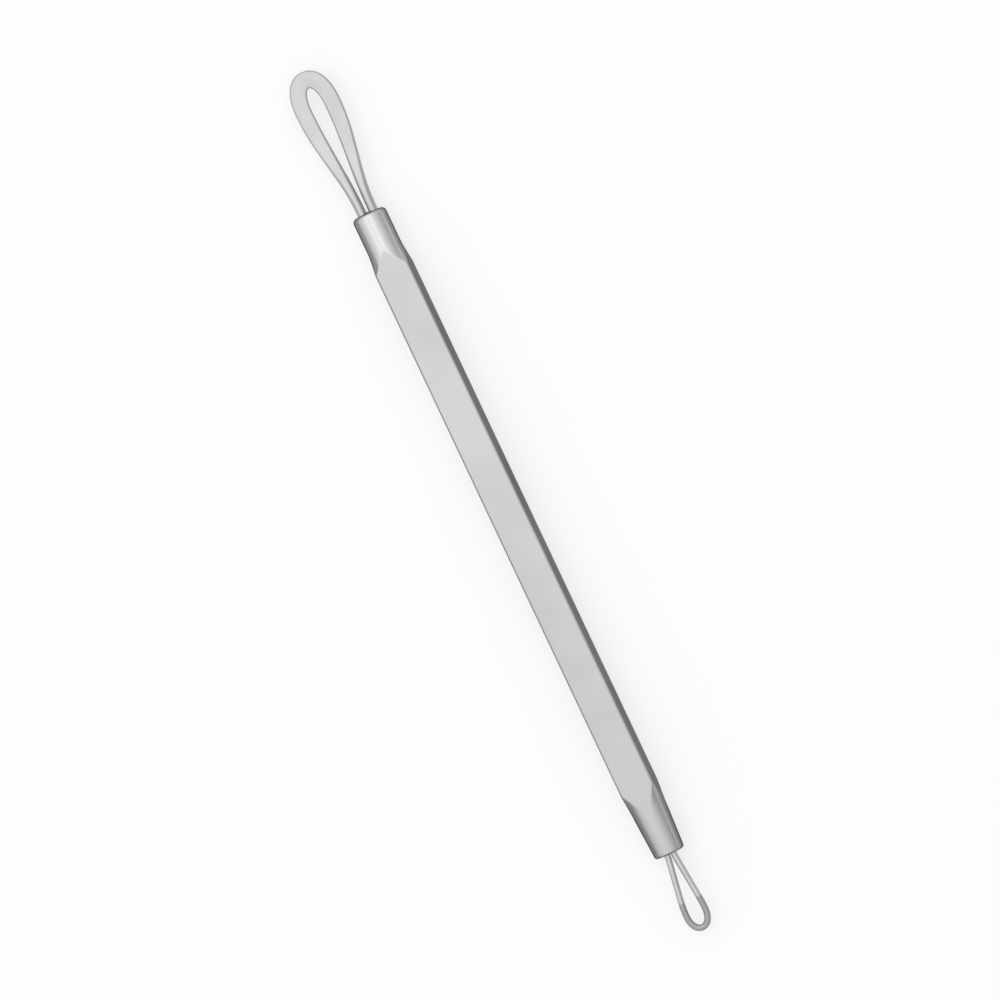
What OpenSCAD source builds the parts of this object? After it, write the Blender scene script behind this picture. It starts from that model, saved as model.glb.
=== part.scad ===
// Double-ended blackhead extractor: a square steel handle with a wire loop brazed into each end.
// It lies on its back flat. Length runs along Y with the large loop towards +Y, and +Z is up.

/* [Handle] */
// Length of the handle between its two end faces
handle_len = 90; // [60:0.5:140]
// Width across the flats of the square bar
bar_side = 4.6; // [4:0.05:8]
// Radius on the four long corners of the bar
corner_r = 0.35; // [0.1:0.05:0.8]

/* [Large end of the handle] */
// Depth of the turned collar below the flats
collar_step = 0.01; // [0.01:0.01:0.2]
// Length of the straight part of the collar
collar_len = 4.8; // [3:0.05:12]
// Radius of the hollow shoulder between the collar and the corners of the bar
shoulder_r = 5.8; // [2:0.1:12]
// Rounding of the collar's end edge
collar_edge_r = 0.6; // [0.1:0.05:0.6]

/* [Small end of the handle] */
// Diameter of the tapered nose at its end face
nose_d = 4.05; // [3.4:0.05:5]
// Length of the taper
nose_len = 5.8; // [3:0.1:12]
// Half angle of the taper in degrees
nose_taper = 3.1; // [1:0.1:6]
// Radius of the hollow flare between the taper and the corners of the bar
flare_r = 9.6; // [3:0.1:20]
// Rounding of the nose's end edge
nose_edge_r = 0.35; // [0.1:0.05:0.5]

/* [Large loop] */
// Diameter of the wire before it is flattened
large_wire_d = 1.2; // [0.8:0.05:1.4]
// Gap between the two legs in the bore
large_leg_gap = 0.35; // [0.05:0.05:0.5]
// Reach of the outer tip beyond the collar
large_reach = 19.8; // [14:0.1:32]
// Width over the outside of the loop
large_loop_w = 6.15; // [5.4:0.05:10]
// Width of the flattened band at the widest place
large_band_w = 2.15; // [1.5:0.05:2.4]
// Distance from the widest place to the outer tip
large_tip_len = 4.9; // [3.5:0.1:8]
// Width of the flattened band across the tip
large_tip_band = 2.25; // [1.5:0.05:2.8]
// Upward camber of the loop's end in degrees
large_camber = 6; // [1:0.5:15]
// Length over which the camber runs
large_camber_len = 10; // [5:0.5:13]
// Length of leg inside the bore
large_socket = 8; // [4:0.5:15]

/* [Small loop] */
// Diameter of the wire before it is pressed
small_wire_d = 0.8; // [0.5:0.05:1]
// Gap between the two legs in the bore
small_leg_gap = 0.14; // [0.02:0.02:0.3]
// Reach of the outer tip beyond the nose
small_reach = 10.8; // [8:0.1:20]
// Width over the outside of the loop
small_loop_w = 3.45; // [2.6:0.05:6]
// Width of the wire where it is pressed flat
small_band_w = 0.82; // [0.8:0.02:1.1]
// Distance from the widest place to the outer tip
small_tip_len = 2.5; // [1.6:0.1:4]
// Length of the end of the loop that is pressed flat and bent down
small_press_len = 4.5; // [3:0.1:7]
// Downward bend of the pressed end in degrees
small_bend = 10; // [1:0.5:18]
// Inside radius of that bend
small_bend_r = 1.5; // [1:0.1:3]
// Sideways lean of the loop as it was set by hand, in degrees
small_lean = 2; // [0:0.5:4]
// Length of leg inside the bore
small_socket = 6; // [3:0.5:12]

/* [Brazed joints] */
// Clearance round the legs that the filler takes up
bore_clear = 0.025; // [0.01:0.005:0.1]
// Depth of each bore past the ends of its legs
bore_spare = 0.5; // [0.2:0.1:2]
// Height of the filler's dome at the large end
large_fillet_h = 0.3; // [0.1:0.05:0.5]
// Height of the filler's dome at the small end
small_fillet_h = 0.15; // [0.05:0.05:0.3]
// Straight leg left between a filler dome and the spread of the loop
spread_gap = 0.1; // [0.05:0.05:0.5]

/* [Hidden] */
$fn = 96;

// Handle radii, and the radius that clears the corners of the bar
collar_r = bar_side / 2 - collar_step;
nose_r = nose_d / 2;
clear_r = bar_side;
drill_half_angle = 59;

// Half spacing of the legs, and the bores that take them
large_leg_x = (large_wire_d + large_leg_gap) / 2;
small_leg_x = (small_wire_d + small_leg_gap) / 2;
large_bore_r = large_leg_x + large_wire_d / 2 + bore_clear;
small_bore_r = small_leg_x + small_wire_d / 2 + bore_clear;
large_bore_len = large_socket + bore_spare;
small_bore_len = small_socket + bore_spare;

// Sides of the wire's section, and the most length between two sections of a leg
large_sides = 20;
small_sides = 16;
large_step = 1.1;
small_step = 0.9;
tip_steps = 12;

// Shape of the spread: how long each leg takes to swing out and to straighten up again
large_swing = [5, 5];
small_swing = [0.6, 2];
// Fullness of the tip's outer edge, where 2 is an ellipse and more is squarer
large_fullness = 2.25;
small_fullness = 2.15;
// Length of the step from round wire to pressed wire on the small loop
press_step = 0.3;

// Share of the way from 0 to 1 at distance s, easing in over swing[0] and out over swing[1]
function eased(s, len, swing) =
    let (speed = 1 / (len - (swing[0] + swing[1]) / 2))
    s <= 0 ? 0 :
    s >= len ? 1 :
    s < swing[0] ? speed * s * s / (2 * swing[0]) :
    s > len - swing[1] ? 1 - speed * (len - s) * (len - s) / (2 * swing[1]) :
    speed * (s - swing[0] / 2);

// Thickness of a flattened wire of width w with the same section area as round wire of diameter d
function band_t(w, d) =
    let (k = 1 - PI / 4)
    (w - sqrt(w * w - k * PI * d * d)) / (2 * k);

// Distances from a to b, without a, no more than step apart
function stations(a, b, step) =
    let (n = ceil((b - a) / step - 0.01))
    [for (i = [1:1:n]) a + (b - a) * i / n];

// Bends point p of a loop's flat pattern up (angle > 0) or down, from y = start, on radius r
function bent(p, start, angle, r) =
    let (run = p[1] - start, arc = r * abs(angle) * PI / 180, s = sign(angle))
    run <= 0 ? p :
    let (a = angle * min(run / arc, 1), rest = max(run - arc, 0))
    [
        p[0],
        start + (s * r - p[2]) * sin(a) + rest * cos(a),
        s * r - (s * r - p[2]) * cos(a) + rest * sin(a)
    ];

// Leans point p sideways by angle, from y = start
function leant(p, start, angle) = [p[0] + max(p[1] - start, 0) * tan(angle), p[1], p[2]];

// Section across a leg at y: its outer edge, its inner edge and its thickness
function leg_section(y, x, w, d) = [[x + w / 2, y], [x - w / 2, y], band_t(w, d)];

// Section across the tip at angle a, between the outer and the inner outline
function tip_section(a, y, outer, inner, fullness, d) =
    let (
        o = [outer[0] * pow(cos(a), 2 / fullness), y + outer[1] * pow(sin(a), 2 / fullness)],
        i = [inner[0] * cos(a), y + inner[1] * sin(a)]
    )
    [o, i, band_t(norm(o - i), d)];

// Points round one section: two half circles with flats between them
function ring(section, sides) =
    let (
        o = section[0],
        i = section[1],
        t = section[2],
        w = norm(o - i),
        flat = max((w - t) / 2, 0)
    )
    [
        for (k = [0:sides - 1])
        let (
            a = (k + 0.5) * 360 / sides,
            x = sign(cos(a)) * flat + t / 2 * cos(a),
            place = (o + i) / 2 + (o - i) / w * x
        )
        [place[0], place[1], t / 2 * sin(a)]
    ];

// Rings of a whole loop from the rings of its right half, which ends at the tip
function both_halves(half) = concat(
    half,
    [for (i = [len(half) - 2:-1:0]) [for (p = half[i]) [-p[0], p[1], p[2]]]]
);

// Triangles of a tube through count rings, closed at both ends
function tube_faces(count, sides) = concat(
    [[for (k = [sides - 1:-1:0]) k]],
    [
        for (i = [0:count - 2], k = [0:sides - 1])
        let (a = i * sides + k, b = i * sides + (k + 1) % sides)
        each [[a, b, b + sides], [a, b + sides, a + sides]]
    ],
    [[for (k = [0:sides - 1]) (count - 1) * sides + k]]
);

// Large loop: the legs spread and flatten together from just above the filler to the widest place
large_spread_y = large_fillet_h + spread_gap;
large_wide_y = large_reach - large_tip_len;
large_leg = [
    for (y = concat([-large_socket, 0, large_spread_y], stations(large_spread_y, large_wide_y, large_step)))
    let (
        share = eased(y - large_spread_y, large_wide_y - large_spread_y, large_swing),
        x = large_leg_x + share * ((large_loop_w - large_band_w) / 2 - large_leg_x),
        w = large_wire_d + share * (large_band_w - large_wire_d)
    )
    leg_section(y, x, w, large_wire_d)
];
large_tip = [
    for (a = stations(0, 90, 90 / tip_steps))
    tip_section(
        a,
        large_wide_y,
        [large_loop_w / 2, large_tip_len],
        [large_loop_w / 2 - large_band_w, large_tip_len - large_tip_band],
        large_fullness,
        large_wire_d
    )
];
large_rings = both_halves([for (section = concat(large_leg, large_tip)) ring(section, large_sides)]);
large_camber_r = large_camber_len / (large_camber * PI / 180);
large_points = [
    for (r = large_rings, p = r)
    bent(p, large_reach - large_camber_len, large_camber, large_camber_r)
];

// Small loop: straight diverging legs of round wire, then the pressed and bent end
small_spread_y = small_fillet_h + spread_gap;
small_wide_y = small_reach - small_tip_len;
small_press_y = small_reach - small_press_len;
small_press_stations = stations(small_press_y, small_press_y + press_step, press_step / 3);
small_leg = [
    for (y = concat(
        [-small_socket, 0, small_spread_y],
        stations(small_spread_y, small_press_y, small_step),
        small_press_stations,
        stations(small_press_y + press_step, small_wide_y, small_step)
    ))
    let (
        share = eased(y - small_spread_y, small_wide_y - small_spread_y, small_swing),
        press = eased(y - small_press_y, press_step, [press_step / 2, press_step / 2]),
        x = small_leg_x + share * ((small_loop_w - small_band_w) / 2 - small_leg_x),
        w = small_wire_d + press * (small_band_w - small_wire_d)
    )
    leg_section(y, x, w, small_wire_d)
];
small_tip = [
    for (a = stations(0, 90, 90 / tip_steps))
    tip_section(
        a,
        small_wide_y,
        [small_loop_w / 2, small_tip_len],
        [small_loop_w / 2 - small_band_w, small_tip_len - small_band_w],
        small_fullness,
        small_wire_d
    )
];
small_rings = both_halves([for (section = concat(small_leg, small_tip)) ring(section, small_sides)]);
small_points = [
    for (r = small_rings, p = r)
    bent(leant(p, small_spread_y, small_lean), small_press_y, -small_bend, small_bend_r)
];

// Overall length, and the places of the two end faces about its middle
large_tip_y = max([for (p = large_points) p[1]]);
small_tip_y = max([for (p = small_points) p[1]]);
overall_len = small_tip_y + handle_len + large_tip_y;
small_end_y = small_tip_y - overall_len / 2;
large_end_y = small_end_y + handle_len;

// Puts a piece whose Y runs outwards from the large end's face
module at_large_end() {
    translate([0, large_end_y, bar_side / 2]) children();
}

// Puts a piece whose Y runs outwards from the small end's face
module at_small_end() {
    translate([0, small_end_y, bar_side / 2]) rotate([0, 0, 180]) children();
}

// Section of the square bar with its rounded corners
module bar_section() {
    inner = bar_side - 2 * corner_r;
    square([bar_side, inner], center = true);
    square([inner, bar_side], center = true);
    for (x = [-1, 1], y = [-1, 1])
        translate([x * inner / 2, y * inner / 2]) circle(r = corner_r);
}

// Waste outside a rounded end edge, for a wall that leans in by taper; the origin is the rounding's centre
module edge_waste(r, taper) {
    difference() {
        polygon([[0, 0], [0, -2 * r], [2 * r, -2 * r], [2 * r * cos(taper), -2 * r * sin(taper)]]);
        circle(r = r);
    }
}

// Waste that is turned away at the large end: straight collar and hollow shoulder
module collar_waste() {
    shoulder_y = handle_len - collar_len;
    translate([collar_r, shoulder_y]) square([clear_r, 2 * collar_len]);
    translate([collar_r + shoulder_r, shoulder_y]) circle(r = shoulder_r);
    translate([collar_r - collar_edge_r, handle_len - collar_edge_r])
        mirror([0, 1]) edge_waste(collar_edge_r, 0);
}

// Waste that is turned away at the small end: tapered nose and hollow flare
module nose_waste() {
    root_r = nose_r + nose_len * tan(nose_taper);
    edge_x = nose_r + nose_edge_r * (tan(nose_taper) - 1 / cos(nose_taper));
    polygon([
        [nose_r - nose_len * tan(nose_taper), -nose_len],
        [nose_r + clear_r, -nose_len],
        [nose_r + clear_r, nose_len],
        [root_r, nose_len]
    ]);
    translate([root_r + flare_r * cos(nose_taper), nose_len - flare_r * sin(nose_taper)])
        circle(r = flare_r);
    translate([edge_x, nose_edge_r]) edge_waste(nose_edge_r, nose_taper);
}

// Envelope of the turned handle
module turned_envelope() {
    rotate_extrude() difference() {
        square([clear_r, handle_len]);
        collar_waste();
        nose_waste();
    }
}

// Drilled blind hole from an end face at y = 0 down to its drill point, with its mouth extended by proud
module blind_hole(r, depth, proud) {
    point_depth = depth + r / tan(drill_half_angle);
    rotate([-90, 0, 0])
        rotate_extrude() polygon([[0, proud], [r, proud], [r, -depth], [0, -point_depth]]);
}

// Dome of filler that stands on the mouth of a bore
module filler_dome(r, h) {
    dome_r = (r * r + h * h) / (2 * h);
    rotate([-90, 0, 0]) rotate_extrude() intersection() {
        translate([0, h - dome_r]) circle(r = dome_r);
        square([r, h]);
    }
}

// The two straight legs from the end inside the bore up to y = top
module legs(section, sides, socket, top) {
    for (side = [-1, 1])
        translate([0, top, 0]) rotate([90, 0, 0])
            linear_extrude(top + socket) polygon([for (p = ring(section, sides)) [side * p[0], p[2]]]);
}

// Square bar, turned at both ends and drilled for the legs
module handle() {
    color("silver") difference() {
        at_small_end() rotate([90, 0, 0]) intersection() {
            linear_extrude(handle_len) bar_section();
            turned_envelope();
        }
        at_large_end() blind_hole(large_bore_r, large_bore_len, collar_edge_r);
        at_small_end() blind_hole(small_bore_r, small_bore_len, nose_edge_r);
    }
}

// Wire loop with a wide flattened band
module large_loop() {
    color("gainsboro") at_large_end()
        polyhedron(large_points, tube_faces(len(large_rings), large_sides));
}

// Fine wire loop with a pressed end
module small_loop() {
    color("gainsboro") at_small_end()
        polyhedron(small_points, tube_faces(len(small_rings), small_sides));
}

// Filler that fixes the large loop's legs in the collar
module large_loop_braze() {
    color("darkgray") at_large_end() difference() {
        union() {
            blind_hole(large_bore_r, large_bore_len, 0);
            filler_dome(large_bore_r, large_fillet_h);
        }
        legs(large_leg[0], large_sides, large_socket, large_spread_y);
    }
}

// Filler that fixes the small loop's legs in the nose
module small_loop_braze() {
    color("darkgray") at_small_end() difference() {
        union() {
            blind_hole(small_bore_r, small_bore_len, 0);
            filler_dome(small_bore_r, small_fillet_h);
        }
        legs(small_leg[0], small_sides, small_socket, small_spread_y);
    }
}

handle();
large_loop();
small_loop();
large_loop_braze();
small_loop_braze();
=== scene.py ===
"""Looks of a double-ended blackhead extractor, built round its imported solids.

All sizes are in metres. The tool lies on its back flat. Its length runs along Y with the large
loop towards +Y, and +Z points out of its front flat. Every visible surface is grown by a geometry
node tree from named sizes, and takes its finish from a small class of its own.
"""

import logging
import math
from dataclasses import dataclass
from enum import Enum

import bpy
from mathutils import Matrix, Vector


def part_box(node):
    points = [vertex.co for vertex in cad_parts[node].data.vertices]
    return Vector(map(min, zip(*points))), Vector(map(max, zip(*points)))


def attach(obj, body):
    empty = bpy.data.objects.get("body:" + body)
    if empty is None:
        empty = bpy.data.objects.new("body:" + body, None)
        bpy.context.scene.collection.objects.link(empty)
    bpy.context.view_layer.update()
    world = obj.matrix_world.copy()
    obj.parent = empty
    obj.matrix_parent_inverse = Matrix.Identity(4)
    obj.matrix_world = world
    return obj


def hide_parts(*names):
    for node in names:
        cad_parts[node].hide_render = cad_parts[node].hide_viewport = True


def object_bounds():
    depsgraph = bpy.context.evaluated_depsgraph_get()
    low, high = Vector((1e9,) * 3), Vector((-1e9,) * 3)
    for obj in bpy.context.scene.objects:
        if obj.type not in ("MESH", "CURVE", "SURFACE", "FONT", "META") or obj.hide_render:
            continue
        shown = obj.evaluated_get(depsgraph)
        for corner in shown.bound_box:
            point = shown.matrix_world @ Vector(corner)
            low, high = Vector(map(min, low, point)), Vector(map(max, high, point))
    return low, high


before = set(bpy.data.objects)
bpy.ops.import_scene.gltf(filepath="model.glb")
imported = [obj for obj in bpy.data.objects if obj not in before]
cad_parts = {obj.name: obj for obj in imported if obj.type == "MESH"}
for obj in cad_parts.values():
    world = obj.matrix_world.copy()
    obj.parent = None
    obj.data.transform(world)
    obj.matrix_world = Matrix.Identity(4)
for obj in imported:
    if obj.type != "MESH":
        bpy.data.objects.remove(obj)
CAD_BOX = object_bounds()

LOG = logging.getLogger("extractor")
MM = 0.001

# Range in which nearly all values of a noise texture lie
NOISE_LOW = 0.3
NOISE_HIGH = 0.7
# A share that is small enough to count as none
TINY = 1e-6


class End(Enum):
    """An end of the handle. Its value is the heading along Y out of that end face."""

    LARGE = 1.0
    SMALL = -1.0

    def face_y(self) -> float:
        """Place of this end face along Y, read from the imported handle."""
        low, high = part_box("handle")
        return high.y if self is End.LARGE else low.y


class Kind(Enum):
    """Which of Blender's node trees is being built."""

    GEOMETRY = "GeometryNodeTree"
    SHADER = "ShaderNodeTree"


def plug(tree: bpy.types.NodeTree, slot: bpy.types.NodeSocket, value: object) -> None:
    """Gives an input socket its value, by a link where the value varies.

    Args:
        tree: The tree that holds the socket.
        slot: The input socket.
        value: A Field, an output socket, or a plain value.
    """
    if isinstance(value, Field):
        tree.links.new(value.socket, slot)
    elif isinstance(value, bpy.types.NodeSocket):
        tree.links.new(value, slot)
    else:
        slot.default_value = value


class Field:
    """A number that varies over a mesh or a surface: an output socket with the usual arithmetic."""

    def __init__(self, tree: bpy.types.NodeTree, socket: bpy.types.NodeSocket) -> None:
        """Wraps an output socket of the given tree."""
        self.tree = tree
        self.socket = socket

    def math(self, operation: str, *others: object) -> "Field":
        """Adds a math node that starts from this field.

        Args:
            operation: The math node's operation.
            *others: The node's second and third values.

        Returns:
            The node's result.
        """
        return arithmetic(self.tree, operation, self, *others)

    def __add__(self, other: object) -> "Field":
        """Sum."""
        return self.math("ADD", other)

    def __radd__(self, other: float) -> "Field":
        """Sum with a number on the left."""
        return self.math("ADD", other)

    def __sub__(self, other: object) -> "Field":
        """Difference."""
        return self.math("SUBTRACT", other)

    def __rsub__(self, other: float) -> "Field":
        """Difference with a number on the left."""
        return arithmetic(self.tree, "SUBTRACT", other, self)

    def __mul__(self, other: object) -> "Field":
        """Product."""
        return self.math("MULTIPLY", other)

    def __truediv__(self, other: object) -> "Field":
        """Quotient."""
        return self.math("DIVIDE", other)

    def __rtruediv__(self, other: float) -> "Field":
        """Quotient with a number on the left."""
        return arithmetic(self.tree, "DIVIDE", other, self)

    def __pow__(self, other: object) -> "Field":
        """Power."""
        return self.math("POWER", other)

    def __neg__(self) -> "Field":
        """The same value with its sign changed."""
        return self.math("MULTIPLY", -1.0)

    def least(self, other: object) -> "Field":
        """The lesser of two values."""
        return self.math("MINIMUM", other)

    def most(self, other: object) -> "Field":
        """The greater of two values."""
        return self.math("MAXIMUM", other)

    def sin(self) -> "Field":
        """Sine of an angle in radians."""
        return self.math("SINE")

    def cos(self) -> "Field":
        """Cosine of an angle in radians."""
        return self.math("COSINE")

    def size(self) -> "Field":
        """Absolute value."""
        return self.math("ABSOLUTE")

    def sign(self) -> "Field":
        """Sign, as -1, 0 or 1."""
        return self.math("SIGN")

    def root(self) -> "Field":
        """Square root, with what lies below zero taken as zero."""
        return self.math("MAXIMUM", 0.0).math("SQRT")

    def ramp(
        self,
        low: object,
        high: object,
        start: object = 0.0,
        end: object = 1.0,
        smooth: bool = False,
    ) -> "Field":
        """Maps this value from one range to another and holds it at the ends.

        Args:
            low: The value that gives start.
            high: The value that gives end.
            start: The result at low.
            end: The result at high.
            smooth: Whether the change eases in and out.

        Returns:
            The mapped value.
        """
        node = self.tree.nodes.new("ShaderNodeMapRange")
        node.interpolation_type = "SMOOTHSTEP" if smooth else "LINEAR"
        for slot, value in zip(node.inputs, (self, low, high, start, end)):
            plug(self.tree, slot, value)
        return Field(self.tree, node.outputs[0])


def arithmetic(tree: bpy.types.NodeTree, operation: str, *values: object) -> Field:
    """Adds one math node.

    Args:
        tree: The tree to add it to.
        operation: The node's operation.
        *values: Its inputs, in order.

    Returns:
        The node's result.
    """
    node = tree.nodes.new("ShaderNodeMath")
    node.operation = operation
    for slot, value in zip(node.inputs, values):
        plug(tree, slot, value)
    return Field(tree, node.outputs[0])


class Group:
    """A node group under construction, with its named inputs and outputs."""

    def __init__(self, name: str, kind: Kind) -> None:
        """Starts an empty group with its input and output nodes.

        Args:
            name: The group's name.
            kind: Whether it shapes a mesh or shades a surface.
        """
        self.tree = bpy.data.node_groups.new(name, kind.value)
        self.entry = self.tree.nodes.new("NodeGroupInput")
        self.exit = self.tree.nodes.new("NodeGroupOutput")

    def takes(self, name: str, kind: str = "Float") -> Field:
        """Adds a named input.

        Args:
            name: The input's name.
            kind: The kind of value, as in the socket's type name.

        Returns:
            The input inside the group.
        """
        self.tree.interface.new_socket(name=name, in_out="INPUT", socket_type=f"NodeSocket{kind}")
        return Field(self.tree, self.entry.outputs[name])

    def gives(self, name: str, value: object, kind: str = "Float") -> None:
        """Adds a named output.

        Args:
            name: The output's name.
            value: What it puts out.
            kind: The kind of value, as in the socket's type name.
        """
        self.tree.interface.new_socket(name=name, in_out="OUTPUT", socket_type=f"NodeSocket{kind}")
        plug(self.tree, self.exit.inputs[name], value)

    def node(
        self, kind: str, settings: dict[str, object] | None = None, **inputs: object
    ) -> bpy.types.Node:
        """Adds a node and sets it up, as added_node does."""
        return added_node(self.tree, kind, settings, **inputs)


def added_node(
    tree: bpy.types.NodeTree,
    kind: str,
    settings: dict[str, object] | None = None,
    **inputs: object,
) -> bpy.types.Node:
    """Adds a node to a tree.

    Args:
        tree: The tree to add it to.
        kind: The node's type name.
        settings: Its properties by name.
        **inputs: Values for its input sockets. An underscore in a name stands for a space.

    Returns:
        The new node.
    """
    node = tree.nodes.new(kind)
    for name, value in (settings or {}).items():
        setattr(node, name, value)
    for name, value in inputs.items():
        plug(tree, node.inputs[name.replace("_", " ")], value)
    return node


def split(tree: bpy.types.NodeTree, vector: object) -> tuple[Field, Field, Field]:
    """The X, Y and Z of a vector socket.

    Args:
        tree: The tree that holds the vector.
        vector: The vector's output socket or Field.

    Returns:
        Its three parts.
    """
    node = added_node(tree, "ShaderNodeSeparateXYZ", Vector=vector)
    return tuple(Field(tree, out) for out in node.outputs)


def joined(tree: bpy.types.NodeTree, x: object, y: object, z: object) -> Field:
    """A vector made of three values.

    Args:
        tree: The tree that holds them.
        x: First part.
        y: Second part.
        z: Third part.

    Returns:
        The vector.
    """
    return Field(tree, added_node(tree, "ShaderNodeCombineXYZ", X=x, Y=y, Z=z).outputs[0])


class Form:
    """Base of the geometry trees: a closed tube of unit size that a tree moves into shape.

    The tube's height becomes the way along the piece, and its angle the way round the piece.
    """

    def __init__(self, name: str) -> None:
        """Starts the tree, its counts of sides and rings, and the unit tube.

        Args:
            name: The tree's name.
        """
        self.group = Group(name, Kind.GEOMETRY)
        self.tree = self.group.tree
        self.sides = self.group.takes("Sides", "Int")
        self.rings = self.group.takes("Rings", "Int")
        self.marks: list[tuple[str, Field]] = []
        self.tube = self.group.node(
            "GeometryNodeMeshCylinder",
            {"fill_type": "TRIANGLE_FAN"},
            Vertices=self.sides,
            Side_Segments=self.rings,
            Radius=1.0,
            Depth=1.0,
        )
        position = self.group.node("GeometryNodeInputPosition").outputs[0]
        self.tube_x, self.tube_y, height = split(self.tree, position)
        self.way = height + 0.5

    def mark(self, name: str, value: Field) -> None:
        """Keeps a value on the mesh under a name, for the finish to read."""
        self.marks.append((name, value))

    def finished(self, x: Field, y: Field, z: Field) -> bpy.types.NodeTree:
        """Moves the tube's points into place and closes the tree.

        Args:
            x: Where each point goes along X.
            y: Where each point goes along Y.
            z: Where each point goes along Z.

        Returns:
            The finished tree.
        """
        mesh = self.tube.outputs["Mesh"]
        for name, value in self.marks:
            stored = self.group.node(
                "GeometryNodeStoreNamedAttribute",
                {"data_type": "FLOAT", "domain": "POINT"},
                Geometry=mesh,
                Name=name,
                Value=value,
            )
            mesh = stored.outputs["Geometry"]
        place = joined(self.tree, x, y, z)
        moved = self.group.node("GeometryNodeSetPosition", Geometry=mesh, Position=place)
        smooth = self.group.node("GeometryNodeSetShadeSmooth", Geometry=moved.outputs["Geometry"])
        whole = self.group.node("GeometryNodeRealizeInstances", Geometry=smooth.outputs["Geometry"])
        dressed = self.group.node(
            "GeometryNodeSetMaterial",
            Geometry=whole.outputs["Geometry"],
            Material=self.group.takes("Material", "Material"),
        )
        self.group.gives("Geometry", dressed.outputs["Geometry"], "Geometry")
        return self.tree


def grown(name: str, tree: bpy.types.NodeTree, sizes: dict[str, object]) -> bpy.types.Object:
    """Grows a piece from a geometry tree and turns the result into a plain mesh.

    Args:
        name: The piece's name.
        tree: The geometry tree.
        sizes: A value for each of the tree's named inputs.

    Returns:
        The piece, at the origin, with its place in its mesh.
    """
    piece = bpy.data.objects.new(name, bpy.data.meshes.new(name))
    bpy.context.scene.collection.objects.link(piece)
    modifier = piece.modifiers.new("Form", "NODES")
    modifier.node_group = tree
    for item in tree.interface.items_tree:
        if item.in_out == "INPUT":
            modifier[item.identifier] = sizes[item.name]
    depsgraph = bpy.context.evaluated_depsgraph_get()
    mesh = bpy.data.meshes.new_from_object(
        piece.evaluated_get(depsgraph), preserve_all_data_layers=True, depsgraph=depsgraph
    )
    piece.modifiers.remove(modifier)
    piece.data = mesh
    mesh.name = name
    LOG.info("%s: %d points, %d faces", name, len(mesh.vertices), len(mesh.polygons))
    return piece


def eased(run: Field, length: object, ease_in: object, ease_out: object) -> Field:
    """Share of a way that has been gone, at a steady pace with an eased start and end.

    Args:
        run: Distance from the start of the way.
        length: Length of the way.
        ease_in: Length of the eased start.
        ease_out: Length of the eased end.

    Returns:
        A share from 0 to 1.
    """
    run = run.most(0.0).least(length)
    early = (ease_in - run).most(0.0)
    late = (run - (length - ease_out)).most(0.0)
    gone = run - ease_in / 2 + early * early / (ease_in * 2) - late * late / (ease_out * 2)
    return gone / (length - (ease_in + ease_out) / 2)


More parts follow.
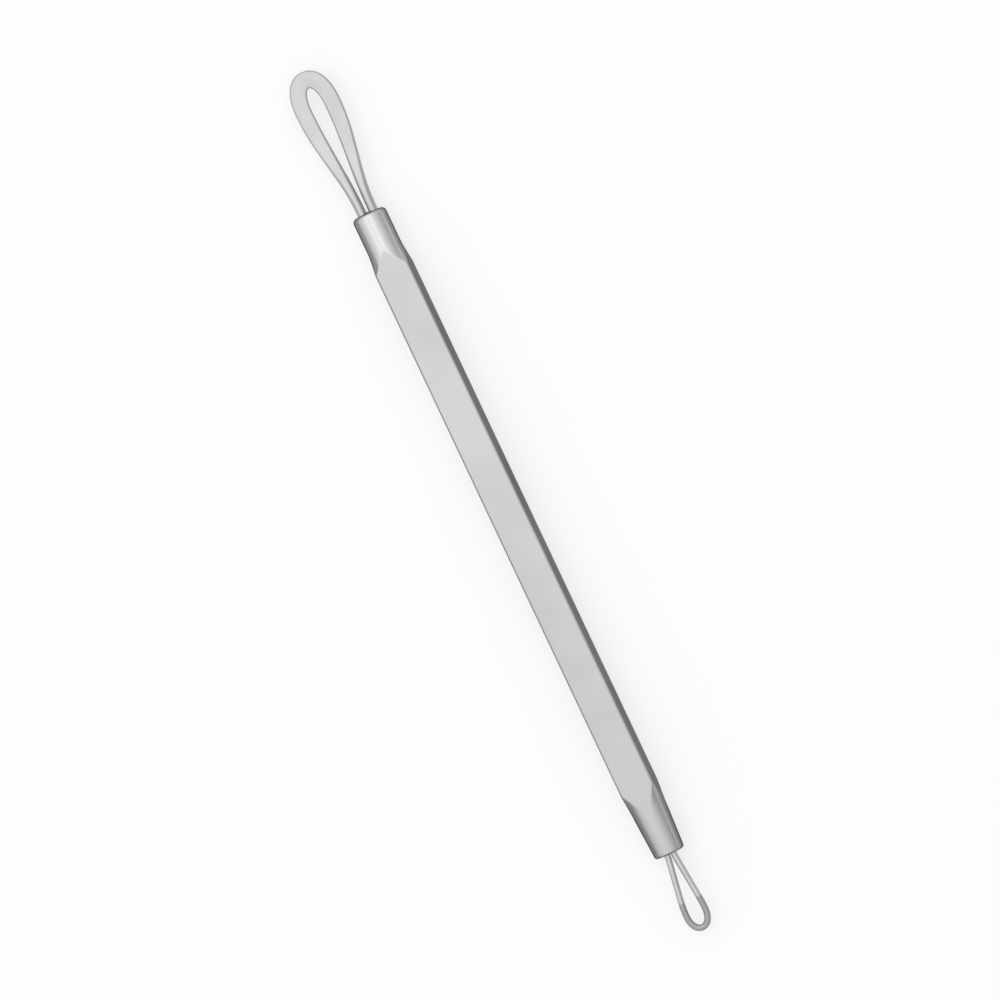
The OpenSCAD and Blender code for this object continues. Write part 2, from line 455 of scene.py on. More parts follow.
class BarForm(Form):
    """Tree of the handle: a square bar with rounded corners, turned at both ends."""

    # Half the height over which the finish changes from ground to turned
    SEAM: float = 0.04 * MM
    # Way from the collar over which the edges' softness grows to the full, and its share there
    SOFTNESS_RUN: float = 1.0 * MM
    LEAST_SOFTNESS: float = 0.1
    # Reach of a rounded corner over half the side, where its finish starts and where it is full
    CORNER_START: float = 1.28
    CORNER_FULL: float = 1.33

    def __init__(self) -> None:
        """Builds the tree."""
        super().__init__("turned_bar")
        takes = self.group.takes
        length, side, corner = takes("Length"), takes("Side"), takes("Corner")
        start = takes("Start")
        angle = self.tube_y.math("ARCTAN2", self.tube_x)
        angle = angle + (angle * 4).sin() * takes("Corner crowding")
        y = self.station(length)
        turned, collar_start = self.turned_radius(y, length, side)
        flat = self.square_radius(angle, side / 2, corner)
        softness = (collar_start - y).ramp(0.0, self.SOFTNESS_RUN, self.LEAST_SOFTNESS, 1.0)
        radius = flat.math("SMOOTH_MIN", turned, takes("Edge softness") * softness)
        reach = radius * (self.tube_x * self.tube_x + self.tube_y * self.tube_y).root()
        corner_reach = radius / (side / 2)
        self.mark("turned", (flat - turned).ramp(-self.SEAM, self.SEAM, smooth=True))
        self.mark("corner", corner_reach.ramp(self.CORNER_START, self.CORNER_FULL, smooth=True))
        self.mark("large_end", y.math("GREATER_THAN", length / 2))
        self.finished(reach * angle.cos(), start + y, side / 2 + reach * angle.sin())

    def station(self, length: Field) -> Field:
        """Spreads the rings along the bar, close together over both turned ends and their edges.

        Args:
            length: The bar's length.

        Returns:
            Distance from the small end's face.
        """
        takes = self.group.takes
        nose, collar = takes("Nose zone"), takes("Collar zone")
        nose_share, collar_share = takes("Nose rings"), takes("Collar rings")
        quarter = math.pi / 2
        near = nose - nose * self.way.ramp(0.0, nose_share, 0.0, quarter).cos()
        middle = self.way.ramp(nose_share, 1.0 - collar_share, 0.0, length - nose - collar)
        far = collar * self.way.ramp(1.0 - collar_share, 1.0, 0.0, quarter).sin()
        return near + middle + far

    def turned_radius(self, y: Field, length: Field, side: Field) -> tuple[Field, Field]:
        """Radius of the surface that is turned at both ends.

        Args:
            y: Distance from the small end's face.
            length: The bar's length.
            side: Width across the flats.

        Returns:
            The radius, and where the collar's straight part starts.
        """
        takes = self.group.takes
        # The collar: a hollow shoulder down from the flats, and a rounded edge at its face
        shoulder, collar_edge = takes("Shoulder"), takes("Collar edge")
        collar_start = length - takes("Collar length")
        sunk = (collar_start - y).most(0.0)
        over = (y - (length - collar_edge)).most(0.0)
        collar = side / 2 - takes("Collar step")
        collar = collar + shoulder - (shoulder * shoulder - sunk * sunk).root()
        collar = collar - collar_edge + (collar_edge * collar_edge - over * over).root()

        # The nose: a flare down from the flats, a taper, and a rounded edge at its face
        flare, nose_edge, nose_length = takes("Flare"), takes("Nose edge"), takes("Nose length")
        taper = takes("Taper")
        centre = nose_length - flare * taper.sin()
        past = y.most(nose_length) - centre
        under = (nose_edge - y).most(0.0)
        nose = takes("Nose diameter") / 2 + y.least(nose_length) * taper.math("TANGENT")
        nose = nose + flare * taper.cos() - (flare * flare - past * past).root()
        nose = nose - nose_edge + (nose_edge * nose_edge - under * under).root()
        return collar.least(nose), collar_start

    def square_radius(self, angle: Field, half: Field, corner: Field) -> Field:
        """Distance from the axis to a square with rounded corners, at an angle round the axis.

        Args:
            angle: The angle.
            half: Half the square's side.
            corner: Radius of its corners.

        Returns:
            The distance.
        """
        across, up = angle.cos().size(), angle.sin().size()
        major, minor = across.most(up), across.least(up)
        inset = half - corner
        along = inset * (major + minor)
        rounded = along + (along * along - inset * inset * 2 + corner * corner).root()
        flat = half / major
        in_corner = (minor / major * half).math("GREATER_THAN", inset)
        return flat + in_corner * (rounded - flat)


class LoopForm(Form):
    """Tree of a wire loop: two legs that spread, flatten and meet round a tip, and then bend."""

    # Share of the way out from the middle of the section at which its rounded edge starts
    EDGE_START: float = 0.5

    def __init__(self) -> None:
        """Builds the tree."""
        super().__init__("wire_loop")
        takes = self.group.takes
        half_way = 1.0 - (self.way * 2 - 1.0).size()
        heading = takes("Heading")
        to_middle = 0.5 - self.way
        # The middle of the wire, where the sign is 0, counts as part of the right half
        hand = to_middle.sign() + to_middle.math("COMPARE", 0.0, TINY)

        reach, tip = takes("Reach"), takes("Tip length")
        wide = reach - tip
        socket_share, leg_share = takes("Socket rings"), takes("Leg rings")
        y = half_way.ramp(0.0, socket_share, -takes("Socket"), 0.0)
        y = y + half_way.ramp(socket_share, leg_share, 0.0, wide)
        turn = half_way.ramp(leg_share, 1.0, 0.0, math.pi / 2)

        wire, leg, band = takes("Wire"), takes("Leg spacing") / 2, takes("Band")
        edge = takes("Width") / 2
        spread_start = takes("Spread start")
        spread = eased(
            y - spread_start, wide - spread_start, takes("Swing out"), takes("Swing straight")
        )
        flat = eased(
            y - takes("Flat start"),
            takes("Flat length"),
            takes("Flat ease in"),
            takes("Flat ease out"),
        )
        x = leg + spread * (edge - band / 2 - leg)
        width = wire + flat * (band - wire)

        # Round the tip, the outer edge is a superellipse and the inner edge an ellipse
        power = 2.0 / takes("Fullness")
        tip_band = takes("Tip band")
        out_x = x + width / 2 + edge * (turn.cos() ** power - 1.0)
        out_y = y + tip * turn.sin() ** power
        in_x = x - width / 2 + (edge - band) * (turn.cos() - 1.0)
        in_y = y + (tip - tip_band) * turn.sin()
        loop_x, loop_y, loop_z = self.section(wire, (out_x, out_y), (in_x, in_y))
        self.mark("along", y + turn * (tip - tip_band / 2))
        self.mark("pressed", flat)

        lean = takes("Lean").math("TANGENT")
        loop_x = loop_x * hand + (loop_y - spread_start).most(0.0) * lean
        loop_y, loop_z = self.bent(loop_y, loop_z)
        self.finished(loop_x * heading, takes("Face") + loop_y * heading, takes("Height") + loop_z)

    def section(
        self, wire: Field, outer: tuple[Field, Field], inner: tuple[Field, Field]
    ) -> tuple[Field, Field, Field]:
        """Puts each point on its place round the section between the outer and the inner edge.

        Args:
            wire: Diameter of the wire before it was flattened.
            outer: X and Y of the outer edge.
            inner: X and Y of the inner edge.

        Returns:
            X, Y and Z of the right half of the flat loop.
        """
        way_x, way_y = outer[0] - inner[0], outer[1] - inner[1]
        width = (way_x * way_x + way_y * way_y).root()
        # The thickness at which a flat section with round edges has the round wire's area
        lost = 1.0 - math.pi / 4
        thick = (width - (width * width - wire * wire * (lost * math.pi)).root()) / (2 * lost)
        flat = ((width - thick) / 2).most(0.0)
        # Half a side's turn keeps every point off the border between the two round edges
        step = math.pi / self.sides
        across = self.tube_x * step.cos() - self.tube_y * step.sin()
        up = self.tube_x * step.sin() + self.tube_y * step.cos()
        out = (across.sign() * flat + thick / 2 * across) / width
        self.mark("around", up.math("ARCTAN2", across) * wire / 2)
        self.mark("edge", across.size().ramp(self.EDGE_START, 1.0, smooth=True))
        return (
            (outer[0] + inner[0]) / 2 + way_x * out,
            (outer[1] + inner[1]) / 2 + way_y * out,
            thick / 2 * up,
        )

    def bent(self, y: Field, z: Field) -> tuple[Field, Field]:
        """Bends the loop up or down out of its plane, from a place along it.

        Args:
            y: Place along the flat loop.
            z: Height off the flat loop's plane.

        Returns:
            The place and the height after the bend.
        """
        takes = self.group.takes
        start, angle, radius = takes("Bend start"), takes("Bend angle"), takes("Bend radius")
        run = (y - start).most(0.0)
        arc = radius * angle.size()
        turned = angle * (run / arc).least(1.0)
        rest = (run - arc).most(0.0)
        radius = radius * angle.sign()
        return (
            y.least(start) + (radius - z) * turned.sin() + rest * turned.cos(),
            radius - (radius - z) * turned.cos() + rest * turned.sin(),
        )


class FillerForm(Form):
    """Tree of the filler in a bore's mouth: a low dome that climbs a little up both legs."""

    # How far from a leg the climb thins out, as a share of its height
    CLING_REACH: float = 0.6
    # How late the climb gives way to the bore's wall, where more is later
    WALL_POWER: float = 6.0
    # Width of the dull strip beside each leg, which also carries the painted crevice shade
    CREVICE: float = 0.12 * MM

    def __init__(self) -> None:
        """Builds the tree."""
        super().__init__("filler_mouth")
        takes = self.group.takes
        bore, depth = takes("Bore radius"), takes("Depth")
        dome, climb = takes("Dome"), takes("Climb")
        leg, wire, heading = takes("Leg spacing") / 2, takes("Wire"), takes("Heading")
        out = (self.tube_x * self.tube_x + self.tube_y * self.tube_y).root()
        x, z = self.tube_x * bore, self.tube_y * bore
        off = x.size() - leg
        gap = ((off * off + z * z).root() - wire / 2).most(0.0)
        cling = (-gap / (climb * self.CLING_REACH)).math("EXPONENT")
        rise = dome * (1.0 - out * out) + climb * cling * (1.0 - out ** self.WALL_POWER)
        top = self.way.math("GREATER_THAN", 0.5)
        y = rise * top - depth * (1.0 - top)
        self.mark("crevice", gap.ramp(0.0, self.CREVICE, 1.0, 0.0))
        self.finished(x * heading, takes("Face") + y * heading, takes("Height") + z)


@dataclass(frozen=True)
class Grain:
    """Shader group of fine scratches that run along Y of the coordinates that it is given."""

    name: str = "fine_grain"
    detail: float = 4.0
    roughness: float = 0.65

    def group(self) -> bpy.types.NodeTree:
        """Builds the group, once.

        Returns:
            The group.
        """
        if self.name in bpy.data.node_groups:
            return bpy.data.node_groups[self.name]
        group = Group(self.name, Kind.SHADER)
        place = group.takes("Vector", "Vector")
        lines, stretch = group.takes("Lines"), group.takes("Stretch")
        x, y, z = split(group.tree, place)
        spot = joined(group.tree, x * lines, y * lines / stretch, z * lines)
        noise = group.node(
            "ShaderNodeTexNoise",
            Vector=spot,
            Scale=1.0,
            Detail=self.detail,
            Roughness=self.roughness,
        )
        height = Field(group.tree, noise.outputs[0])
        group.gives("Height", height)
        group.gives("Tone", height.ramp(NOISE_LOW, NOISE_HIGH))
        return group.tree


@dataclass(frozen=True)
class Mottle:
    """Shader group of soft, cloudy differences over a surface."""

    name: str = "soft_mottle"
    detail: float = 2.0
    roughness: float = 0.5

    def group(self) -> bpy.types.NodeTree:
        """Builds the group, once.

        Returns:
            The group.
        """
        if self.name in bpy.data.node_groups:
            return bpy.data.node_groups[self.name]
        group = Group(self.name, Kind.SHADER)
        place, scale = group.takes("Vector", "Vector"), group.takes("Scale")
        low, high = group.takes("Low"), group.takes("High")
        noise = group.node(
            "ShaderNodeTexNoise",
            Vector=place,
            Scale=scale,
            Detail=self.detail,
            Roughness=self.roughness,
        )
        value = Field(group.tree, noise.outputs[0])
        group.gives("Factor", value.ramp(NOISE_LOW, NOISE_HIGH, low, high, smooth=True))
        return group.tree


class Surface:
    """A material under construction: its tree, its shader and its coordinates."""

    def __init__(self, name: str) -> None:
        """Starts a material with a plain shader.

        Args:
            name: The material's name.
        """
        self.material = bpy.data.materials.new(name)
        self.material.use_nodes = True
        self.tree = self.material.node_tree
        self.shader = self.tree.nodes["Principled BSDF"]
        self.place = added_node(self.tree, "ShaderNodeTexCoord").outputs["Object"]

    def attribute(self, name: str) -> Field:
        """A value that the piece's mesh carries under a name."""
        node = added_node(self.tree, "ShaderNodeAttribute", {"attribute_name": name})
        return Field(self.tree, node.outputs["Fac"])

    def slant(self) -> Field:
        """How far the surface turns away from the viewer, from 0 to 1 at its rim."""
        return Field(self.tree, added_node(self.tree, "ShaderNodeLayerWeight").outputs["Facing"])

    def effect(self, group: bpy.types.NodeTree, **inputs: object) -> dict[str, Field]:
        """Places a shader group in this material.

        Args:
            group: The group.
            **inputs: Values for its named inputs.

        Returns:
            Its outputs by name.
        """
        node = self.tree.nodes.new("ShaderNodeGroup")
        node.node_tree = group
        for name, value in inputs.items():
            plug(self.tree, node.inputs[name], value)
        return {out.name: Field(self.tree, out) for out in node.outputs}

    def cloud(self, scale: float, low: float, high: float) -> Field:
        """A factor that varies softly over the surface.

        Args:
            scale: How many clouds there are to a metre.
            low: Its least value.
            high: Its greatest value.

        Returns:
            The factor.
        """
        mottle = Mottle().group()
        return self.effect(mottle, Vector=self.place, Scale=scale, Low=low, High=high)["Factor"]

    def tinted(self, colour: tuple[float, float, float], factor: Field) -> Field:
        """A colour made lighter or darker by a factor.

        Args:
            colour: The colour.
            factor: The factor over the surface.

        Returns:
            The colour over the surface.
        """
        node = added_node(self.tree, "ShaderNodeVectorMath", {"operation": "SCALE"})
        node.inputs[0].default_value = colour
        plug(self.tree, node.inputs["Scale"], factor)
        return Field(self.tree, node.outputs[0])

    def relief(self, height: Field, depth: float) -> None:
        """Gives the surface a fine relief.

        Args:
            height: Height over the surface, from 0 to 1.
            depth: What a height of 1 stands for, in metres.
        """
        bump = added_node(self.tree, "ShaderNodeBump", Strength=1.0, Distance=depth, Height=height)
        plug(self.tree, self.shader.inputs["Normal"], bump.outputs[0])

    def shade(self, **inputs: object) -> bpy.types.Material:
        """Sets the shader's inputs.

        Args:
            **inputs: Values by name. An underscore in a name stands for a space.

        Returns:
            The material.
        """
        for name, value in inputs.items():
            plug(self.tree, self.shader.inputs[name.replace("_", " ")], value)
        return self.material


@dataclass(frozen=True)
class GroundSteel:
    """Satin stainless steel: ground along the flats, and turned at both ends.

    The tones are factors on the colour. The painted rim shade is the share by which the colour of
    the turned ends and the rounded corners is darkened where they turn away from the viewer: a
    painted shade that stands in for the dark reflections at their rims.
    """

    colour: tuple[float, float, float] = (0.5, 0.501, 0.501)
    rim: tuple[float, float, float] = (0.14, 0.14, 0.14)
    collar_tone: float = 1.27
    nose_tone: float = 1.05
    least_line_tone: float = 0.97
    line_contrast: float = 0.06
    cloud_scale: float = 90.0
    cloud_contrast: float = 0.045
    # Where the painted rim shade starts and where it is full, on the slant from 0 to 1
    slant_start: float = 0.22
    slant_full: float = 0.4
    painted_rim_shade: float = 0.5
    flat_roughness: float = 0.36
    turned_roughness: float = 0.28
    line_roughness: float = 0.05
    corner_polish: float = 0.05
    grain_lines: float = 8000.0
    grain_stretch: float = 40.0
    ring_squeeze: float = 0.15
    grain_depth: float = 0.0035 * MM

    def grain(self, surface: Surface, turned: Field) -> tuple[Field, Field]:
        """Lays the grain: along the bar on the flats, and round it on the turned ends.

        Args:
            surface: The material under construction.
            turned: Where the surface is turned.

        Returns:
            The grain's height and its tone.
        """
        lines, stretch = self.grain_lines, self.grain_stretch
        along = surface.effect(Grain().group(), Vector=surface.place, Lines=lines, Stretch=stretch)
        x, y, z = split(surface.tree, surface.place)
        place = joined(surface.tree, y, x * self.ring_squeeze, z * self.ring_squeeze)
        rings = surface.effect(Grain().group(), Vector=place, Lines=lines, Stretch=stretch)
        return (
            along["Height"] + turned * (rings["Height"] - along["Height"]),
            along["Tone"] + turned * (rings["Tone"] - along["Tone"]),
        )

    def material(self) -> bpy.types.Material:
        """Builds the finish.

        Returns:
            The material.
        """
        surface = Surface("ground_steel")
        turned, corner = surface.attribute("turned"), surface.attribute("corner")
        height, tone = self.grain(surface, turned)
        low, high = 1.0 - self.cloud_contrast, 1.0 + self.cloud_contrast
        factor = surface.cloud(self.cloud_scale, low, high)
        factor = factor * (self.least_line_tone + tone * self.line_contrast)
        extra_tone = surface.attribute("large_end") * (self.collar_tone - self.nose_tone)
        factor = factor * (1.0 + turned * (self.nose_tone + extra_tone - 1.0))
        # Painted shade: the colour darkens where the turned ends and the rounded corners turn away
        # from the viewer, for the dark reflections at their rims
        shade_at_rim = surface.slant().ramp(
            self.slant_start, self.slant_full, 0.0, self.painted_rim_shade, smooth=True
        )
        factor = factor * (1.0 - turned.most(corner) * shade_at_rim)
        rough = self.flat_roughness + turned * (self.turned_roughness - self.flat_roughness)
        rough = rough + (tone - 0.5) * self.line_roughness - corner * self.corner_polish
        surface.relief(height, self.grain_depth)
        return surface.shade(
            Base_Color=surface.tinted(self.colour, factor),
            Metallic=1.0,
            Roughness=rough,
            Specular_Tint=(*self.rim, 1.0),
        )


@dataclass(frozen=True)
class DrawnWire:
    """Satin stainless wire, drawn round and then rolled or pressed flat.

    The pressed shade tone is a factor on the colour where the wire is flattened: a painted shade
    for the bent, pressed tip, which faces away from the light.
    """

    name: str
    colour: tuple[float, float, float] = (0.5, 0.501, 0.5)
    rim: tuple[float, float, float] = (0.14, 0.14, 0.14)
    pressed_shade_tone: float = 1.0
    least_line_tone: float = 0.97
    line_contrast: float = 0.06
    cloud_scale: float = 350.0
    cloud_contrast: float = 0.03
    roughness: float = 0.3
    line_roughness: float = 0.06
    face_roughness: float = 0.05
    grain_lines: float = 9000.0
    grain_stretch: float = 30.0
    grain_depth: float = 0.003 * MM

    def material(self) -> bpy.types.Material:
        """Builds the finish.

        Returns:
            The material.
        """
        surface = Surface(self.name)
        along, around = surface.attribute("along"), surface.attribute("around")
        pressed, edge = surface.attribute("pressed"), surface.attribute("edge")
        grain = surface.effect(
            Grain().group(),
            Vector=joined(surface.tree, around, along, 0.0),
            Lines=self.grain_lines,
            Stretch=self.grain_stretch,
        )
        low, high = 1.0 - self.cloud_contrast, 1.0 + self.cloud_contrast
        factor = surface.cloud(self.cloud_scale, low, high)
        factor = factor * (self.least_line_tone + grain["Tone"] * self.line_contrast)
        # Painted shade: the flattened part is darkened, for the darker reflection of the bent tip
        factor = factor * (1.0 + pressed * (self.pressed_shade_tone - 1.0))
        rough = self.roughness + (grain["Tone"] - 0.5) * self.line_roughness
        rough = rough + pressed * (1.0 - edge) * self.face_roughness
        surface.relief(grain["Height"], self.grain_depth)
        return surface.shade(
            Base_Color=surface.tinted(self.colour, factor),
            Metallic=1.0,
            Roughness=rough,
            Specular_Tint=(*self.rim, 1.0),
        )


@dataclass(frozen=True)
class SilverFiller:
    """Silver braze filler, wiped smooth, dull in the crevice beside the wire, and darker there by a
    painted shade.
    """

    colour: tuple[float, float, float] = (0.5, 0.49, 0.47)
    rim: tuple[float, float, float] = (0.4, 0.4, 0.4)
    cloud_scale: float = 1500.0
    cloud_low: float = 0.9
    cloud_high: float = 1.06
    painted_crevice_shade: float = 0.6
    roughness: float = 0.38
    grain_roughness: float = 0.12
    crevice_roughness: float = 0.1
    grain_lines: float = 7000.0
    grain_depth: float = 0.01 * MM

    def material(self) -> bpy.types.Material:
        """Builds the finish.

        Returns:
            The material.
        """
        surface = Surface("silver_filler")
        crevice = surface.attribute("crevice")
        factor = surface.cloud(self.cloud_scale, self.cloud_low, self.cloud_high)
        # Painted shade: the colour darkens in the crevice beside each leg
        factor = factor * (1.0 - crevice * self.painted_crevice_shade)
        lines = self.grain_lines
        grain = surface.effect(Grain().group(), Vector=surface.place, Lines=lines, Stretch=1.0)
        rough = self.roughness + (grain["Tone"] - 0.5) * self.grain_roughness
        rough = rough + crevice * self.crevice_roughness
        surface.relief(grain["Height"], self.grain_depth)
        return surface.shade(
            Base_Color=surface.tinted(self.colour, factor),
            Metallic=1.0,
            Roughness=rough,
            Specular_Tint=(*self.rim, 1.0),
        )


@dataclass
class Handle:
    """The square bar of the handle, with its turned collar and nose.

    The taper is in degrees, from the axis. Nose rings and collar rings are the shares of all rings
    that crowd together in the zones at the two ends.
    """

    corner: float = 0.35 * MM
    collar_step: float = 0.01 * MM
    collar_length: float = 4.8 * MM
    shoulder: float = 5.8 * MM
    collar_edge: float = 0.6 * MM
    nose_diameter: float = 4.05 * MM
    nose_length: float = 5.8 * MM
    taper: float = 3.1
    flare: float = 9.6 * MM
    nose_edge: float = 0.35 * MM
    edge_softness: float = 0.08 * MM
    sides: int = 240
    rings: int = 250
    corner_crowding: float = 0.1
    nose_zone: float = 11.5 * MM
    nose_rings: float = 0.46
    collar_zone: float = 9.0 * MM
    collar_rings: float = 0.48

    def build(self) -> bpy.types.Object:
        """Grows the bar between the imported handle's end faces and dresses it.

        Returns:
            The piece.
        """
        low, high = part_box("handle")
        piece = grown(
            "handle_bar",
            BarForm().tree,
            {
                "Sides": self.sides,
                "Rings": self.rings,
                "Length": high.y - low.y,
                "Side": high.z - low.z,
                "Start": low.y,
                "Corner": self.corner,
                "Corner crowding": self.corner_crowding,
                "Nose zone": self.nose_zone,
                "Collar zone": self.collar_zone,
                "Nose rings": self.nose_rings,
                "Collar rings": self.collar_rings,
                "Shoulder": self.shoulder,
                "Collar edge": self.collar_edge,
                "Collar length": self.collar_length,
                "Collar step": self.collar_step,
                "Flare": self.flare,
                "Nose edge": self.nose_edge,
                "Nose length": self.nose_length,
                "Taper": math.radians(self.taper),
                "Nose diameter": self.nose_diameter,
                "Edge softness": self.edge_softness,
                "Material": GroundSteel().material(),
            },
        )
        return settled(piece, "handle")


@dataclass
class WireLoop:
    """A wire loop that stands in one end of the handle.

    Reach, starts and lengths run along the tool from the end face. Swing holds the lengths over
    which the legs bend outwards and straighten again. Flat holds where the wire starts to flatten
    and over what length, and flat ease how softly that starts and ends. The bend angle, upwards,
    and the lean are in degrees. Fullness is the power of the tip's outline, where 2 is an ellipse.
    Socket rings and leg rings are the shares of half the rings by which the socket and the leg end.
    """

    end: End
    piece: str
    node: str
    finish: DrawnWire
    wire: float
    leg_gap: float
    socket: float
    reach: float
    width: float
    band: float
    tip_length: float
    tip_band: float
    fullness: float
    spread_start: float
    swing: tuple[float, float]
    flat: tuple[float, float]
    flat_ease: tuple[float, float]
    bend_start: float
    bend_angle: float
    bend_radius: float
    lean: float
    sides: int
    rings: int
    socket_rings: float = 0.01
    leg_rings: float = 0.68

    def build(self, tree: bpy.types.NodeTree) -> bpy.types.Object:
        """Grows the loop on its end face and dresses it.

        Args:
            tree: The geometry tree of wire loops.

        Returns:
            The piece.
        """
        low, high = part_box("handle")
        piece = grown(
            self.piece,
            tree,
            {
                "Sides": self.sides,
                "Rings": self.rings,
                "Heading": self.end.value,
                "Reach": self.reach,
                "Tip length": self.tip_length,
                "Socket rings": self.socket_rings,
                "Leg rings": self.leg_rings,
                "Socket": self.socket,
                "Wire": self.wire,
                "Leg spacing": self.wire + self.leg_gap,
                "Band": self.band,
                "Width": self.width,
                "Spread start": self.spread_start,
                "Swing out": self.swing[0],
                "Swing straight": self.swing[1],
                "Flat start": self.flat[0],
                "Flat length": self.flat[1],
                "Flat ease in": self.flat_ease[0],
                "Flat ease out": self.flat_ease[1],
                "Fullness": self.fullness,
                "Tip band": self.tip_band,
                "Lean": math.radians(self.lean),
                "Bend start": self.bend_start,
                "Bend angle": math.radians(self.bend_angle),
                "Bend radius": self.bend_radius,
                "Face": self.end.face_y(),
                "Height": (low.z + high.z) / 2,
                "Material": self.finish.material(),
            },
        )
        return settled(piece, self.node)


@dataclass
class FilledMouth:
    """The filler that shows in the mouth of a bore, round the legs of a loop.

    The clearance lies between the outside of the legs and the bore. The dome is the filler's height
    in the middle of the mouth, and the climb what is added to it beside a leg.
    """

    end: End
    piece: str
    node: str
    loop: WireLoop
    clearance: float
    dome: float
    climb: float
    depth: float = 1.0 * MM
    sides: int = 96
    rings: int = 1

    def build(self, tree: bpy.types.NodeTree, material: bpy.types.Material) -> bpy.types.Object:
        """Grows the filler on its end face and dresses it.

        Args:
            tree: The geometry tree of filled mouths.
            material: The filler's finish.

        Returns:
            The piece.
        """
        low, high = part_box("handle")
        spacing = self.loop.wire + self.loop.leg_gap
        piece = grown(
            self.piece,
            tree,
            {
                "Sides": self.sides,
                "Rings": self.rings,
                "Bore radius": (spacing + self.loop.wire) / 2 + self.clearance,
                "Depth": self.depth,
                "Dome": self.dome,
                "Climb": self.climb,
                "Leg spacing": spacing,
                "Wire": self.loop.wire,
                "Heading": self.end.value,
                "Face": self.end.face_y(),
                "Height": (low.z + high.z) / 2,
                "Material": material,
            },
        )
        return settled(piece, self.node)


def settled(piece: bpy.types.Object, node: str) -> bpy.types.Object:
    """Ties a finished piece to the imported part.

    Args:
        piece: The piece.
        node: The CAD node that it stands for.

    Returns:
        The piece.
    """
    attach(piece, "root")
    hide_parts(node)
    return piece


@dataclass(frozen=True)
class Softbox:
    """A soft lamp that faces straight down. A radiance of 1 makes its face look white."""

    name: str
    place: tuple[float, float, float]
    size: tuple[float, float]
    radiance: float

    def hang(self) -> None:
        """Adds the lamp to the scene."""
        data = bpy.data.lights.new(self.name, "AREA")
        data.shape = "RECTANGLE"
        data.size, data.size_y = self.size
        data.energy = self.radiance * math.pi * self.size[0] * self.size[1]
        lamp = bpy.data.objects.new(self.name, data)
        lamp.location = self.place
        lamp.visible_camera = False
        bpy.context.scene.collection.objects.link(lamp)


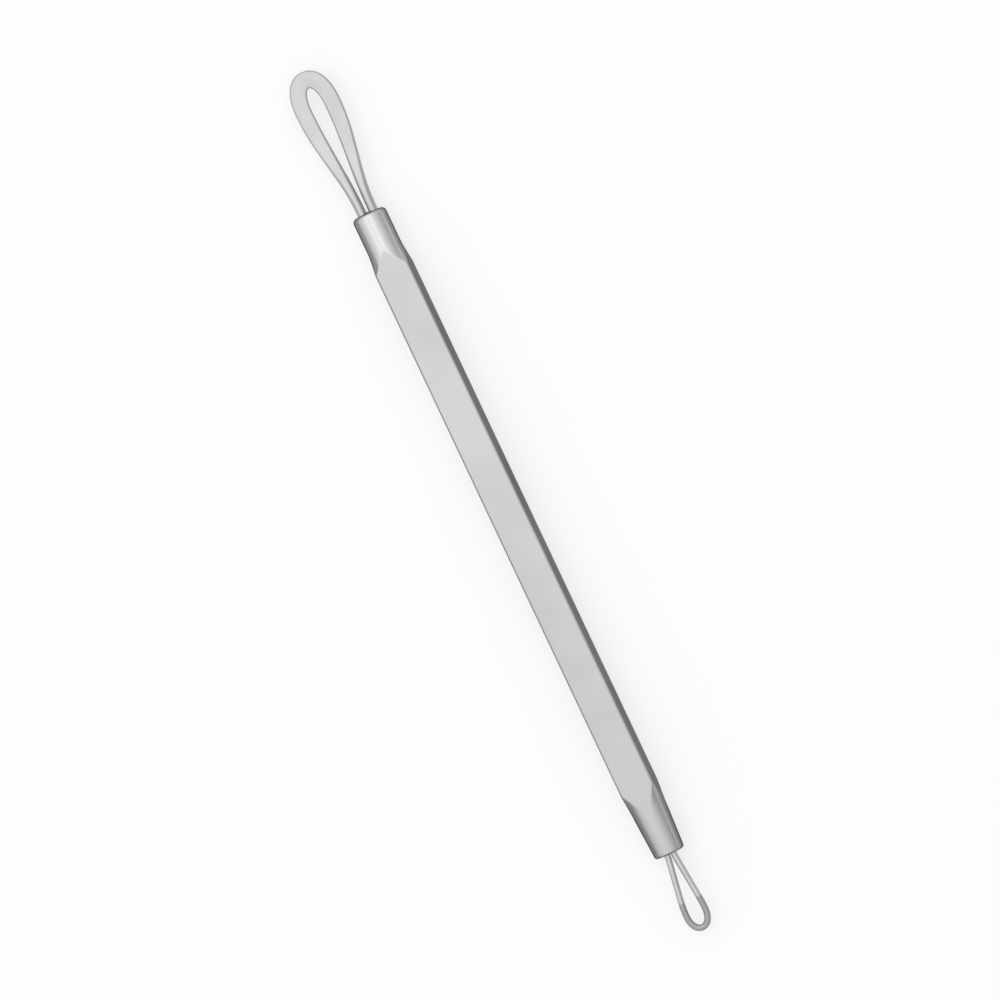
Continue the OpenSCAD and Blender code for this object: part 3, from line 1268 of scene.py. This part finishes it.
@dataclass
class Studio:
    """A plain pale floor, soft studio light, and the camera at the photograph's angle.

    Tilt and turn are in degrees. The frame size is what the picture's side covers at the tool, and
    the middle is the pixel of the photograph on which the tool's middle lies.
    """

    floor_colour: tuple[float, float, float] = (0.96, 0.96, 0.96)
    floor_whiteness: float = 0.65
    floor_roughness: float = 0.9
    floor_size: float = 6.0
    cloud_scale: float = 3.0
    cloud_contrast: float = 0.005
    softbox: Softbox = Softbox(
        name="overhead_softbox", place=(-0.035, 0.28, 0.30), size=(0.31, 0.60), radiance=0.3
    )
    sky_at_horizon: float = 0.5
    sky_rise: float = 0.65
    sky_slope: float = 0.12
    tilt: float = 9.0
    turn: float = 25.25
    distance: float = 0.75
    sensor_width: float = 36.0
    frame_size: float = 127.2 * MM
    photo_size: float = 1000.0
    middle: tuple[float, float] = (503.9, 501.1)

    def floor(self) -> None:
        """Lays the floor under the tool."""
        half = self.floor_size / 2
        mesh = bpy.data.meshes.new("floor")
        corners = [(-half, -half, 0), (half, -half, 0), (half, half, 0), (-half, half, 0)]
        mesh.from_pydata(corners, [], [(0, 1, 2, 3)])
        mesh.materials.append(self.floor_material())
        floor = bpy.data.objects.new("floor", mesh)
        bpy.context.scene.collection.objects.link(floor)

    def floor_material(self) -> bpy.types.Material:
        """Builds a floor that looks nearly white to the camera and in the metal.

        It keeps the tool's shadow, and throws no more light on the tool than its colour does.

        Returns:
            The material.
        """
        surface = Surface("pale_floor")
        tree = surface.tree
        low, high = 1.0 - self.cloud_contrast, 1.0 + self.cloud_contrast
        colour = surface.tinted(self.floor_colour, surface.cloud(self.cloud_scale, low, high))
        surface.shade(Base_Color=colour, Roughness=self.floor_roughness)
        rays = added_node(tree, "ShaderNodeLightPath")
        seen = Field(tree, rays.outputs["Is Camera Ray"])
        for ray in ("Is Glossy Ray", "Is Transmission Ray"):
            seen = seen.most(Field(tree, rays.outputs[ray]))
        white = added_node(tree, "ShaderNodeEmission", Strength=1.0)
        mixed = added_node(tree, "ShaderNodeMixShader", Fac=seen * self.floor_whiteness)
        tree.links.new(surface.shader.outputs[0], mixed.inputs[1])
        tree.links.new(white.outputs[0], mixed.inputs[2])
        tree.links.new(mixed.outputs[0], tree.nodes["Material Output"].inputs["Surface"])
        return surface.material

    def light(self) -> None:
        """Hangs the lamp, and sets a sky that fades downwards and to the tool's right and foot."""
        self.softbox.hang()
        world = bpy.data.worlds.new("studio")
        world.use_nodes = True
        bpy.context.scene.world = world
        tree = world.node_tree
        way = added_node(tree, "ShaderNodeTexCoord").outputs["Generated"]
        x, y, z = split(tree, way)
        sky = tree.nodes["Background"]
        sky.inputs["Color"].default_value = (1.0, 1.0, 1.0, 1.0)
        strength = self.sky_at_horizon + z * self.sky_rise
        strength = strength + y * self.sky_slope - x * self.sky_slope
        plug(tree, sky.inputs["Strength"], strength)

    def camera(self) -> None:
        """Sets the camera over the tool, tilted to its right and turned as in the photograph."""
        tilt, turn = math.radians(self.tilt), math.radians(self.turn)
        back = Vector((math.sin(tilt), 0.0, math.cos(tilt)))
        side = Vector((math.cos(tilt), 0.0, -math.sin(tilt)))
        along = Vector((0.0, 1.0, 0.0))
        right = side * math.cos(turn) - along * math.sin(turn)
        up = side * math.sin(turn) + along * math.cos(turn)
        low, high = CAD_BOX
        pixel = self.frame_size / self.photo_size
        to_right = (self.middle[0] - self.photo_size / 2) * pixel
        to_foot = (self.middle[1] - self.photo_size / 2) * pixel
        target = Vector((0.0, 0.0, (low[2] + high[2]) / 2))
        target -= right * to_right - up * to_foot
        data = bpy.data.cameras.new("camera")
        data.sensor_width = self.sensor_width
        data.lens = data.sensor_width * self.distance / self.frame_size
        camera = bpy.data.objects.new("camera", data)
        turned = Matrix((right, up, back)).transposed().to_4x4()
        camera.matrix_world = Matrix.Translation(target + back * self.distance) @ turned
        bpy.context.scene.collection.objects.link(camera)
        bpy.context.scene.camera = camera

    def build(self) -> None:
        """Sets up the whole studio."""
        self.camera()
        self.floor()
        self.light()
        bpy.context.scene.view_settings.view_transform = "Standard"


def large_loop() -> WireLoop:
    """The large loop: its legs spread and flatten together, up to the widest place.

    Its reach and width are a few thousandths of a millimetre under 19.8 and 6.15, which keeps it
    within the reach of the solid's facets.

    Returns:
        The loop.
    """
    reach, tip_length, spread_start = 19.799 * MM, 4.9 * MM, 0.4 * MM
    spread = reach - tip_length - spread_start
    camber, camber_length = 6.0, 10.0 * MM
    return WireLoop(
        end=End.LARGE,
        piece="large_loop_band",
        node="large_loop",
        finish=DrawnWire("rolled_wire"),
        wire=1.2 * MM,
        leg_gap=0.35 * MM,
        socket=8.0 * MM,
        reach=reach,
        width=6.143 * MM,
        band=2.15 * MM,
        tip_length=tip_length,
        tip_band=2.25 * MM,
        fullness=2.25,
        spread_start=spread_start,
        swing=(5.0 * MM, 5.0 * MM),
        flat=(spread_start, spread),
        flat_ease=(5.0 * MM, 5.0 * MM),
        bend_start=reach - camber_length,
        bend_angle=camber,
        bend_radius=camber_length / math.radians(camber),
        lean=0.0,
        sides=48,
        rings=320,
    )


def small_loop() -> WireLoop:
    """The small loop: round legs that spread straight, and an end that is pressed and bent down.

    Returns:
        The loop.
    """
    reach, press_length, press_step = 10.8 * MM, 4.5 * MM, 0.3 * MM
    return WireLoop(
        end=End.SMALL,
        piece="small_loop_wire",
        node="small_loop",
        finish=DrawnWire("pressed_wire", colour=(0.56, 0.561, 0.56), pressed_shade_tone=0.69),
        wire=0.8 * MM,
        leg_gap=0.14 * MM,
        socket=6.0 * MM,
        reach=reach,
        width=3.45 * MM,
        band=0.82 * MM,
        tip_length=2.5 * MM,
        tip_band=0.82 * MM,
        fullness=2.15,
        spread_start=0.25 * MM,
        swing=(0.6 * MM, 2.0 * MM),
        flat=(reach - press_length, press_step),
        flat_ease=(press_step / 2, press_step / 2),
        bend_start=reach - press_length,
        bend_angle=-10.0,
        bend_radius=1.5 * MM,
        lean=2.0,
        sides=40,
        rings=260,
    )


def large_mouth(loop: WireLoop) -> FilledMouth:
    """The filler round the large loop's legs.

    Args:
        loop: The large loop.

    Returns:
        The filled mouth.
    """
    return FilledMouth(
        end=End.LARGE,
        piece="large_mouth_filler",
        node="large_loop_braze",
        loop=loop,
        clearance=0.025 * MM,
        dome=0.2 * MM,
        climb=0.12 * MM,
    )


def small_mouth(loop: WireLoop) -> FilledMouth:
    """The filler round the small loop's legs.

    Args:
        loop: The small loop.

    Returns:
        The filled mouth.
    """
    return FilledMouth(
        end=End.SMALL,
        piece="small_mouth_filler",
        node="small_loop_braze",
        loop=loop,
        clearance=0.025 * MM,
        dome=0.1 * MM,
        climb=0.06 * MM,
    )


def main() -> None:
    """Builds the studio and every piece of the tool."""
    logging.basicConfig(level=logging.INFO, format="%(message)s")
    Studio().build()
    Handle().build()
    large, small = large_loop(), small_loop()
    loop_tree = LoopForm().tree
    for loop in (large, small):
        loop.build(loop_tree)
    filler_tree, filler = FillerForm().tree, SilverFiller().material()
    for mouth in (large_mouth(large), small_mouth(small)):
        mouth.build(filler_tree, filler)


if __name__ == "__main__":
    main()
